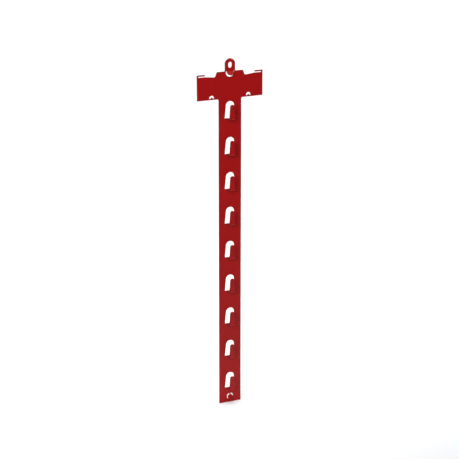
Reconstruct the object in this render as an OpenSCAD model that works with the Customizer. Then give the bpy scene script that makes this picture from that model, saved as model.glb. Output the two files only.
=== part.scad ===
// Hanging hook strip for tyre-service goods: a T-shaped sheet-steel back plate with nine arched
// windows, and one drop-in hook blade that sits on the sill of each window.
// +Z is up and the front faces -Y. The origin is the centre of the hang slot's top arc, at the
// middle of the plate's thickness.

/* [Sheet] */
// Thickness of the back plate
plate_t = 2; // [1.5:0.1:2.5]
// Thickness of a hook blade
hook_t = 2; // [1.5:0.1:2.4]
// Clearance between a hook blade and the plate
hook_gap = 0.4; // [0.3:0.1:0.6]

/* [Strip] */
// Width of the upright strip
strip_w = 50; // [46:1:60]
// Distance from one window to the next
pitch = 76; // [70:1:90]
// Height of the lowest sill above the foot
first_sill = 35; // [32:1:45]
// Wall between the top window and the head
top_wall = 5.9; // [5:0.1:12]

/* [Windows] */
// Width of a window at its sill
sill_w = 24.1; // [20:0.1:26]
// Radius of a window's round top
crown_r = 9.4; // [8.5:0.1:11]
// Height of a window from sill to crown
window_h = 36; // [34:0.1:42]

/* [Head] */
// Width of the head
head_w = 144.8; // [130:0.1:180]
// Height of the head's outer ends
head_h = 48.4; // [44:0.1:60]
// Height of the head where its top edge dips, beside the raised centre
dip_h = 45.9; // [42:0.1:49]
// Height of the raised centre
crest_h = 56.5; // [54:0.1:66]
// Width of the raised centre's top
crest_w = 57.4; // [44:0.1:60]
// Width of the slope on each side of the raised centre
shoulder_w = 4; // [3:0.1:7]

/* [Fingers] */
// Length of a finger at the head's top corner
finger_l = 17.4; // [12:0.1:22]
// Height of a finger
finger_h = 2.6; // [1.8:0.1:3]
// Gap under a finger
finger_gap = 2.3; // [1.5:0.1:3]
// Width of the post that joins a finger to the head
post_w = 2.9; // [2.5:0.1:4]

/* [Eye] */
// Width of the hanging eye
eye_w = 22.3; // [20:0.1:28]
// Height of the eye above the raised centre
eye_h = 26.3; // [22:0.1:30]
// Width of the hang slot
slot_w = 8.2; // [6:0.1:9]
// Height of the hang slot
slot_h = 12.4; // [10:0.1:16]
// Radius of the round opening under the eye
mouth_r = 9.3; // [9:0.1:10.4]
// Depth of that opening below the top of the raised centre
mouth_h = 11.9; // [11:0.1:14]
// Width of the tongue that hangs in that opening
mouth_tongue_w = 15; // [12:0.5:17]
// Length of that tongue
mouth_tongue_l = 10; // [8:0.5:11]
// Forward lean of that tongue, in degrees
mouth_tongue_lean = 45; // [20:1:50]

/* [Label tabs] */
// Distance between the two label tabs
tab_spacing = 81.3; // [70:0.1:100]
// Width of the D-shaped hole behind a tab
tab_hole_w = 10.6; // [9:0.1:13]
// Height of the D-shaped hole
tab_hole_h = 6.6; // [6:0.1:9]
// Height of the D-shaped hole above the head's lower edge
tab_hole_z = 2.5; // [2:0.1:4]
// Width of a label tab
tab_w = 3.6; // [3:0.1:5]
// Length of a label tab
tab_l = 4.4; // [4:0.1:6]
// Forward lean of a label tab, in degrees
tab_lean = 55; // [20:1:60]

/* [Foot] */
// Height of the round foot hole above the foot
foot_hole_z = 13.6; // [12:0.1:16]
// Radius of the foot hole
foot_hole_r = 7.5; // [7.5:0.1:9]
// Diameter of the foot tongue's round head
foot_head_d = 11.5; // [9:0.1:12]
// Distance from the foot tongue's root to the middle of its head
foot_head_drop = 9.2; // [7:0.1:9.2]
// Width of the foot tongue's neck
foot_neck_w = 2.8; // [2:0.1:5]
// Forward lean of the foot tongue, in degrees
foot_lean = 17; // [5:0.5:25]

/* [Hooks] */
// Width of a hook blade at its shelf
blade_w = 13; // [9:0.1:14]
// Narrowing of the blade on each side, in degrees
blade_taper = 4; // [0:0.1:5]
// Distance from the plate's front to the blade's front
reach = 13.2; // [9:0.1:16]
// Height of the blade's tip above the sill
tip_h = 30.8; // [22:0.1:34]
// Length of the rear leg below the sill
leg_l = 13; // [8:1:13]
// Inside radius of a hook's lower front bend
bend_r = 2; // [1.5:0.1:3]
// Depth of the heel that bears on the plate's front below the sill
heel_h = 5; // [4:0.1:7]
// Width of the heel
heel_w = 5.4; // [4:0.1:6]

/* [Hidden] */
NODES = ["back_plate", "hook_1", "hook_2", "hook_3", "hook_4", "hook_5", "hook_6", "hook_7",
  "hook_8", "hook_9"];
$fn = 64;
red = [0.60, 0.03, 0.04];
station_count = len(NODES) - 1;
front_y = -plate_t / 2;
back_y = plate_t / 2;
cut_t = 3 * plate_t;
overlap = 1;
eye_r = eye_w / 2;
crest_z = eye_r - eye_h;
head_z = crest_z - crest_h;
foot_z = head_z - top_wall - window_h - (station_count - 1) * pitch - first_sill;
spring_h = window_h - crown_r;
notch_w = blade_w + 2 * hook_gap;
notch_h = hook_t + hook_gap;
arc_steps = 10;
corner_r = 3.5;
dip_r = 3.5;
crest_r = 2.5;
eye_root_r = 1.5;
rear_bend_r = 0.8;
root_stub = 1;
root_rise = 2 * plate_t;
tongue_blank = 20;
tip_flat = 0.4;
tip_half_w = blade_w / 2 - tip_h * tan(blade_taper);
tip_r = (tip_half_w - tip_flat / 2) * tan(45 + blade_taper / 2);
leg_r = 2;

function sill_z(n) = foot_z + first_sill + (n - 1) * pitch;
function unit(v) = v / norm(v);
function flat(p) = [p[0], p[1]];
function angle_of(v) = atan2(v[1], v[0]);

// Points along the arc of radius r that rounds a corner whose edges come from a and go to b.
function arc_at(corner, a, b, r) =
  let (
    u = unit(a - corner),
    v = unit(b - corner),
    half = acos(u * v) / 2,
    centre = corner + unit(u + v) * r / sin(half),
    start = angle_of(corner + u * r / tan(half) - centre),
    end = angle_of(corner + v * r / tan(half) - centre),
    sweep = (end - start + 540) % 360 - 180
  )
  [for (i = [0 : arc_steps]) centre + r * [cos(start + sweep * i / arc_steps),
    sin(start + sweep * i / arc_steps)]];

// The outline through corners given as [x, z, radius], where a radius of 0 stays sharp.
function rounded(corners) =
  let (n = len(corners))
  [for (i = [0 : n - 1]) each corners[i][2] == 0 ? [flat(corners[i])]
    : arc_at(flat(corners[i]), flat(corners[(i + n - 1) % n]), flat(corners[(i + 1) % n]),
        corners[i][2])];

// The right half's corners, followed by the same corners on the left in reverse.
function mirrored(right) =
  concat(right, [for (i = [len(right) - 1 : -1 : 0]) [-right[i][0], right[i][1], right[i][2]]]);

// Stands a flat outline up in the plate's plane, with its thickness centred on y = 0.
module upright(thickness) {
  rotate([90, 0, 0]) linear_extrude(thickness, center = true) children();
}

module plate_outline() {
  plateau_z = head_z + head_h;
  gap_top = plateau_z + finger_gap;
  finger_top = gap_top + finger_h;
  end_x = head_w / 2;
  finger_x = end_x - finger_l;
  post_x = end_x - post_w;
  polygon(rounded(mirrored([
    [strip_w / 2, foot_z, 0],
    [strip_w / 2, head_z, corner_r],
    [end_x, head_z, 0],
    [end_x, finger_top, 0],
    [finger_x, finger_top, 0],
    [finger_x, gap_top, 0],
    [post_x, gap_top, 0],
    [post_x, plateau_z, 0],
    [finger_x, plateau_z, 0],
    [crest_w / 2 + shoulder_w, head_z + dip_h, dip_r],
    [crest_w / 2, crest_z, crest_r],
    [eye_r, crest_z, eye_root_r],
    [eye_r, 0, 0]
  ])));
  circle(eye_r);
}

module hang_slot() {
  slot_r = slot_w / 2;
  run = slot_h - slot_w;
  circle(slot_r);
  translate([-slot_r, -run]) square([slot_w, run]);
  translate([0, -run]) circle(slot_r);
}

// One arched window with the notch in its sill that centres the hook blade.
module window() {
  polygon([[-sill_w / 2, 0], [sill_w / 2, 0], [crown_r, spring_h], [-crown_r, spring_h]]);
  translate([0, spring_h]) circle(crown_r);
  translate([-notch_w / 2, -notch_h]) square([notch_w, notch_h + overlap]);
}

// A strip that hangs down from the origin and ends in a half circle.
module round_ended(width, length) {
  end_r = width / 2;
  straight = length - end_r;
  translate([-end_r, -straight]) square([width, straight]);
  translate([0, -straight]) intersection() {
    circle(end_r);
    translate([-end_r, -end_r]) square([width, end_r]);
  }
}

// A tongue bent forward at its root line: a mitred strip of sheet, cut to an outline that hangs
// from root_rise above the root.
module leaning_tongue(lean) {
  half_t = plate_t / 2;
  mitre = half_t * tan(lean / 2);
  tip = tongue_blank * [-sin(lean), -cos(lean)];
  out = half_t * [-cos(lean), sin(lean)];
  intersection() {
    rotate([90, 0, 90]) linear_extrude(tongue_blank, center = true)
      polygon([[-half_t, root_stub], [-half_t, mitre], tip + out, tip - out, [half_t, -mitre],
        [half_t, root_stub]]);
    rotate([-lean, 0, 0]) translate([0, 0, root_rise]) upright(cut_t) children();
  }
}

module mouth_tongue() {
  translate([0, 0, crest_z]) leaning_tongue(mouth_tongue_lean)
    round_ended(mouth_tongue_w, root_rise + mouth_tongue_l);
}

// The label tab points up, so it is a hanging tongue turned over.
module label_tab() {
  mirror([0, 0, 1]) leaning_tongue(tab_lean) round_ended(tab_w, root_rise + tab_l);
}

module foot_tongue() {
  neck_l = root_rise + foot_head_drop;
  translate([0, 0, foot_z + foot_hole_z + foot_hole_r]) leaning_tongue(foot_lean) {
    translate([-foot_neck_w / 2, -neck_l]) square([foot_neck_w, neck_l]);
    translate([0, -neck_l]) circle(d = foot_head_d);
  }
}

module back_plate() {
  color(red) {
    difference() {
      upright(plate_t) plate_outline();
      upright(cut_t) {
        hang_slot();
        translate([0, crest_z]) round_ended(2 * mouth_r, mouth_h);
        for (n = [1 : station_count]) translate([0, sill_z(n)]) window();
        for (side = [-1, 1]) translate([side * tab_spacing / 2, head_z + tab_hole_z])
          mirror([0, 1]) round_ended(tab_hole_w, tab_hole_h);
        translate([0, foot_z + foot_hole_z]) circle(foot_hole_r);
      }
    }
    mouth_tongue();
    foot_tongue();
    for (side = [-1, 1])
      translate([side * tab_spacing / 2, 0, head_z + tab_hole_z]) label_tab();
  }
}

// A quarter ring from angle a, for a bend of inside radius r around its centre.
module bend(centre, a, r) {
  translate(centre) intersection() {
    difference() {
      circle(r + hook_t);
      circle(r);
    }
    rotate(a) square(2 * (r + hook_t));
  }
}

// The blade's side view, y to the right and z up: rear leg, saddle and shelf, and upstand.
module blade_side() {
  leg_y = back_y + hook_gap;
  stand_y = front_y - reach + hook_t;
  rear_centre = [leg_y - rear_bend_r, -hook_t - rear_bend_r];
  front_centre = [stand_y + bend_r, bend_r];
  translate([leg_y, -leg_l]) square([hook_t, leg_l + rear_centre[1]]);
  bend(rear_centre, 0, rear_bend_r);
  translate([front_centre[0], -hook_t]) square([rear_centre[0] - front_centre[0], hook_t]);
  bend(front_centre, 180, bend_r);
  translate([stand_y - hook_t, bend_r]) square([hook_t, tip_h - bend_r]);
}

// The blade's front view: a tapered upstand with a rounded tip, and a straight rear leg.
module blade_front() {
  base = blade_w / 2;
  polygon(rounded(mirrored([
    [base, -leg_l, leg_r],
    [base, 0, 0],
    [tip_half_w, tip_h, tip_r]
  ])));
}

// The short lip under the shelf that bears on the plate's front when the hook is loaded.
module heel() {
  translate([-heel_w / 2, front_y - hook_gap - hook_t, -heel_h])
    cube([heel_w, hook_t, heel_h - overlap]);
}

module hook() {
  color(red) {
    intersection() {
      rotate([90, 0, 90]) linear_extrude(blade_w, center = true) blade_side();
      upright(2 * (reach + plate_t + hook_gap + hook_t)) blade_front();
    }
    heel();
  }
}

back_plate();
for (n = [1 : station_count])
  translate([0, 0, sill_z(n)]) hook();
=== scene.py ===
"""Looks of the hanging hook strip: red powder-coated sheet steel on a white studio floor."""

import math

import bpy
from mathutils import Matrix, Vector


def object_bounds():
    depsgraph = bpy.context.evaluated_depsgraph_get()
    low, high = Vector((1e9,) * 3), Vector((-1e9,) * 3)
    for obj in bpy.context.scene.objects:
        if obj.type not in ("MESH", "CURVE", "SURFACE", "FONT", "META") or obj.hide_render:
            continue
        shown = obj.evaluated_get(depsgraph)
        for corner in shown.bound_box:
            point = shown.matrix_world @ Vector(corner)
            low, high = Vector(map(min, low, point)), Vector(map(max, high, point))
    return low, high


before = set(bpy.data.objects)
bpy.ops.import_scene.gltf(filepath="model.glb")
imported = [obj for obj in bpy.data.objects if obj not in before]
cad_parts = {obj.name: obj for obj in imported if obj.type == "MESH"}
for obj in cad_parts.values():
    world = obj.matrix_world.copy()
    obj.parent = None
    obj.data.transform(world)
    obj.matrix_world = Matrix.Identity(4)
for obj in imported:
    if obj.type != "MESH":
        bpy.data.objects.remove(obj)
cad_low, cad_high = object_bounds()

MM = 0.001
PLATE = "back_plate"
HOOKS = sorted(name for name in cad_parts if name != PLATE)

# The view, aimed near the middle of the back plate's height.
AZIMUTH = math.radians(-22.98)
ELEVATION = math.radians(19.25)
DISTANCE = 3.0283
AIM_OFFSET = Vector((-0.85, 0, 16.7)) * MM
LENS_MM = 112.6

# Paint colours, in linear light.
RED = (0.29, 0.0012, 0.0014)
DEEP_RED = (0.27, 0.0011, 0.0013)
# The next red is painted shade: the cut edges get a far darker red that stands in for the shade
# on them.
EDGE_SHADE_RED = (0.055, 0.0006, 0.0008)

# Which faces get the painted shade of the cut edges: an axis, then how far the normal lies along
# it where a face ends and where a shaded edge begins. The plate's faces look along Y. A blade is
# bent about X, so its edges are what looks along X.
PLATE_SHADED_EDGES = ("Y", 0.75, 0.35)
BLADE_SHADED_EDGES = ("X", 0.4, 0.8)

# The paint's texture. The scales are in features per metre, and the pattern step is how far in
# metres each hook's pattern is moved on from the last one's.
DRIFT_SCALE = 9
GLOSS_SCALE = 40
PEEL_SCALE = 750
GLOSS_RANGE = (0.34, 0.42)
PEEL_STRENGTH = 0.22
PEEL_DEPTH = 0.05 * MM
PAINT_SPECULAR = 0.2
PATTERN_STEP = 0.37

# The paint's rounding of sharp edges.
EDGE_RADIUS = 0.3 * MM
WELD_DISTANCE = 0.002 * MM
FLAT_ANGLE = math.radians(0.5)
SHARP_ANGLE = math.radians(35)

# The studio, in metres and watts. The key shines from the upper left of the front, and the
# ceiling shines straight down from behind the strip.
FLOOR_REACH = 12.0
FLOOR_COLOUR = (0.86, 0.86, 0.87)
SKY_COLOUR = (0.94, 0.97, 1.0)
SKY_STRENGTH = 0.3
KEY_ABOVE_MIDDLE = 0.3
KEY_DIRECTION = (math.radians(-42), math.radians(24))
KEY_DISTANCE = 2.2
KEY_SIZE = (1.3, 1.3)
KEY_POWER = 8.9
KEY_SPREAD = math.radians(60)
CEILING_PLACE = (1.5, 4.0)
CEILING_HEIGHT = 2.7
CEILING_SIZE = (10.0, 9.0)
CEILING_POWER = 264
CEILING_SPREAD = math.radians(50)


def direction(azimuth, elevation):
    """The unit vector that points from the object to a viewer at these angles."""
    level = math.cos(elevation)
    return Vector((math.sin(azimuth) * level, -math.cos(azimuth) * level, math.sin(elevation)))


def aim(obj, target):
    """Turns a camera or a light so that its -Z axis points at target."""
    obj.rotation_euler = (target - obj.location).to_track_quat("-Z", "Y").to_euler()


def link(obj):
    bpy.context.scene.collection.objects.link(obj)
    return obj


def add_camera(target):
    data = bpy.data.cameras.new("camera")
    data.lens = LENS_MM
    camera = link(bpy.data.objects.new("camera", data))
    camera.location = target + direction(AZIMUTH, ELEVATION) * DISTANCE
    aim(camera, target)
    bpy.context.scene.camera = camera


def add_softbox(name, location, target, size, power, spread):
    """A white rectangular area light at location that shines towards target."""
    data = bpy.data.lights.new(name, "AREA")
    data.shape = "RECTANGLE"
    data.size, data.size_y = size
    data.energy = power
    data.spread = spread
    light = link(bpy.data.objects.new(name, data))
    light.location = location
    light.visible_camera = False
    aim(light, target)


def add_world(colour, strength):
    world = bpy.data.worlds.new("studio")
    world.use_nodes = True
    background = world.node_tree.nodes["Background"]
    background.inputs["Color"].default_value = (*colour, 1)
    background.inputs["Strength"].default_value = strength
    bpy.context.scene.world = world


def new_material(name):
    """A new node material, with its node tree and its shader."""
    material = bpy.data.materials.new(name)
    material.use_nodes = True
    tree = material.node_tree
    return material, tree, tree.nodes["Principled BSDF"]


def add_floor(height):
    """A level, matt, nearly white floor."""
    ends = (-FLOOR_REACH, FLOOR_REACH)
    corners = [(ends[0], ends[0]), (ends[1], ends[0]), (ends[1], ends[1]), (ends[0], ends[1])]
    mesh = bpy.data.meshes.new("floor")
    mesh.from_pydata([(x, y, height) for x, y in corners], [], [(0, 1, 2, 3)])
    floor = link(bpy.data.objects.new("floor", mesh))
    material, tree, shader = new_material("studio_floor")
    shader.inputs["Base Color"].default_value = (*FLOOR_COLOUR, 1)
    shader.inputs["Roughness"].default_value = 0.9
    shader.inputs["Specular IOR Level"].default_value = 0.1
    mesh.materials.append(material)


def noise(tree, coordinates, scale, detail):
    """A noise value of 0 to 1 whose features are about 1 / scale metres across."""
    texture = tree.nodes.new("ShaderNodeTexNoise")
    texture.inputs["Scale"].default_value = scale
    texture.inputs["Detail"].default_value = detail
    tree.links.new(coordinates, texture.inputs["Vector"])
    return texture.outputs["Fac"]


def remap(tree, value, low, high, out_low, out_high):
    """Maps low..high to out_low..out_high, held at the ends."""
    node = tree.nodes.new("ShaderNodeMapRange")
    ends = {"From Min": low, "From Max": high, "To Min": out_low, "To Max": out_high}
    for socket, number in ends.items():
        node.inputs[socket].default_value = number
    tree.links.new(value, node.inputs["Value"])
    return node.outputs["Result"]


def mix(tree, share, first, second):
    """Blends two colours, each a tuple or a socket."""
    node = tree.nodes.new("ShaderNodeMix")
    node.data_type = "RGBA"
    tree.links.new(share, node.inputs["Factor"])
    for socket, colour in (("A", first), ("B", second)):
        target = next(s for s in node.inputs if s.name == socket and s.type == "RGBA")
        if isinstance(colour, tuple):
            target.default_value = (*colour, 1)
        else:
            tree.links.new(colour, target)
    return next(s for s in node.outputs if s.type == "RGBA")


def lies_along(tree, coordinates, axis):
    """How far the normal lies along an axis, either way: 1 where it is along it, 0 across it."""
    split = tree.nodes.new("ShaderNodeSeparateXYZ")
    tree.links.new(coordinates.outputs["Normal"], split.inputs["Vector"])
    size = tree.nodes.new("ShaderNodeMath")
    size.operation = "ABSOLUTE"
    tree.links.new(split.outputs[axis], size.inputs[0])
    return size.outputs["Value"]


def powder_coat(name, edges, offset):
    """Satin red powder coat: an orange-peel skin, a slow drift of tone and gloss, and painted
    shade on the cut edges, a far darker red. The offset, in metres, gives each piece its own
    pattern."""
    material, tree, shader = new_material(name)
    coordinates = tree.nodes.new("ShaderNodeTexCoord")
    place = tree.nodes.new("ShaderNodeVectorMath")
    place.operation = "ADD"
    place.inputs[1].default_value = (offset, offset / 2, 0)
    tree.links.new(coordinates.outputs["Object"], place.inputs[0])
    spot = place.outputs["Vector"]

    drift = remap(tree, noise(tree, spot, DRIFT_SCALE, 1), 0.3, 0.7, 0, 1)
    face = mix(tree, drift, RED, DEEP_RED)
    axis, face_end, edge_start = edges
    # Painted shade: the cut edges, picked by their normals, are made a far darker red.
    edge_shade_mask = remap(tree, lies_along(tree, coordinates, axis), face_end, edge_start, 0, 1)
    tree.links.new(mix(tree, edge_shade_mask, face, EDGE_SHADE_RED), shader.inputs["Base Color"])

    gloss = remap(tree, noise(tree, spot, GLOSS_SCALE, 2), 0.2, 0.8, *GLOSS_RANGE)
    tree.links.new(gloss, shader.inputs["Roughness"])

    peel = noise(tree, spot, PEEL_SCALE, 1.5)
    bump = tree.nodes.new("ShaderNodeBump")
    bump.inputs["Strength"].default_value = PEEL_STRENGTH
    bump.inputs["Distance"].default_value = PEEL_DEPTH
    tree.links.new(peel, bump.inputs["Height"])
    tree.links.new(bump.outputs["Normal"], shader.inputs["Normal"])
    shader.inputs["Specular IOR Level"].default_value = PAINT_SPECULAR
    return material


def soften(node):
    """Rounds the node's sharp edges, as a paint film does over a deburred edge."""
    node.data.polygons.foreach_set("use_smooth", [True] * len(node.data.polygons))
    weld = node.modifiers.new("weld", "WELD")
    weld.merge_threshold = WELD_DISTANCE
    flat = node.modifiers.new("flat_faces", "DECIMATE")
    flat.decimate_type = "DISSOLVE"
    flat.angle_limit = FLAT_ANGLE
    bevel = node.modifiers.new("soft_edges", "BEVEL")
    bevel.width = EDGE_RADIUS
    bevel.segments = 3
    bevel.limit_method = "ANGLE"
    bevel.angle_limit = SHARP_ANGLE
    shade = node.modifiers.new("face_normals", "WEIGHTED_NORMAL")
    shade.mode = "FACE_AREA"
    shade.weight = 100


def paint(node, material):
    node.data.materials.clear()
    node.data.materials.append(material)


middle = (cad_low + cad_high) / 2
aim_point = Vector((0, 0, middle.z)) + AIM_OFFSET
add_camera(aim_point)
add_floor(cad_low.z)
add_world(SKY_COLOUR, SKY_STRENGTH)
key_target = Vector((0, 0, middle.z + KEY_ABOVE_MIDDLE))
key_from = key_target + direction(*KEY_DIRECTION) * KEY_DISTANCE
add_softbox("key", key_from, key_target, KEY_SIZE, KEY_POWER, KEY_SPREAD)
ceiling = Vector((*CEILING_PLACE, cad_low.z + CEILING_HEIGHT))
below = ceiling - Vector((0, 0, 1))
add_softbox("ceiling", ceiling, below, CEILING_SIZE, CEILING_POWER, CEILING_SPREAD)

paint(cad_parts[PLATE], powder_coat("plate_red_paint", PLATE_SHADED_EDGES, 0.0))
soften(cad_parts[PLATE])
for number, name in enumerate(HOOKS, start=1):
    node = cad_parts[name]
    paint(node, powder_coat(name + "_red_paint", BLADE_SHADED_EDGES, number * PATTERN_STEP))
    soften(node)

bpy.context.scene.view_settings.view_transform = "Standard"
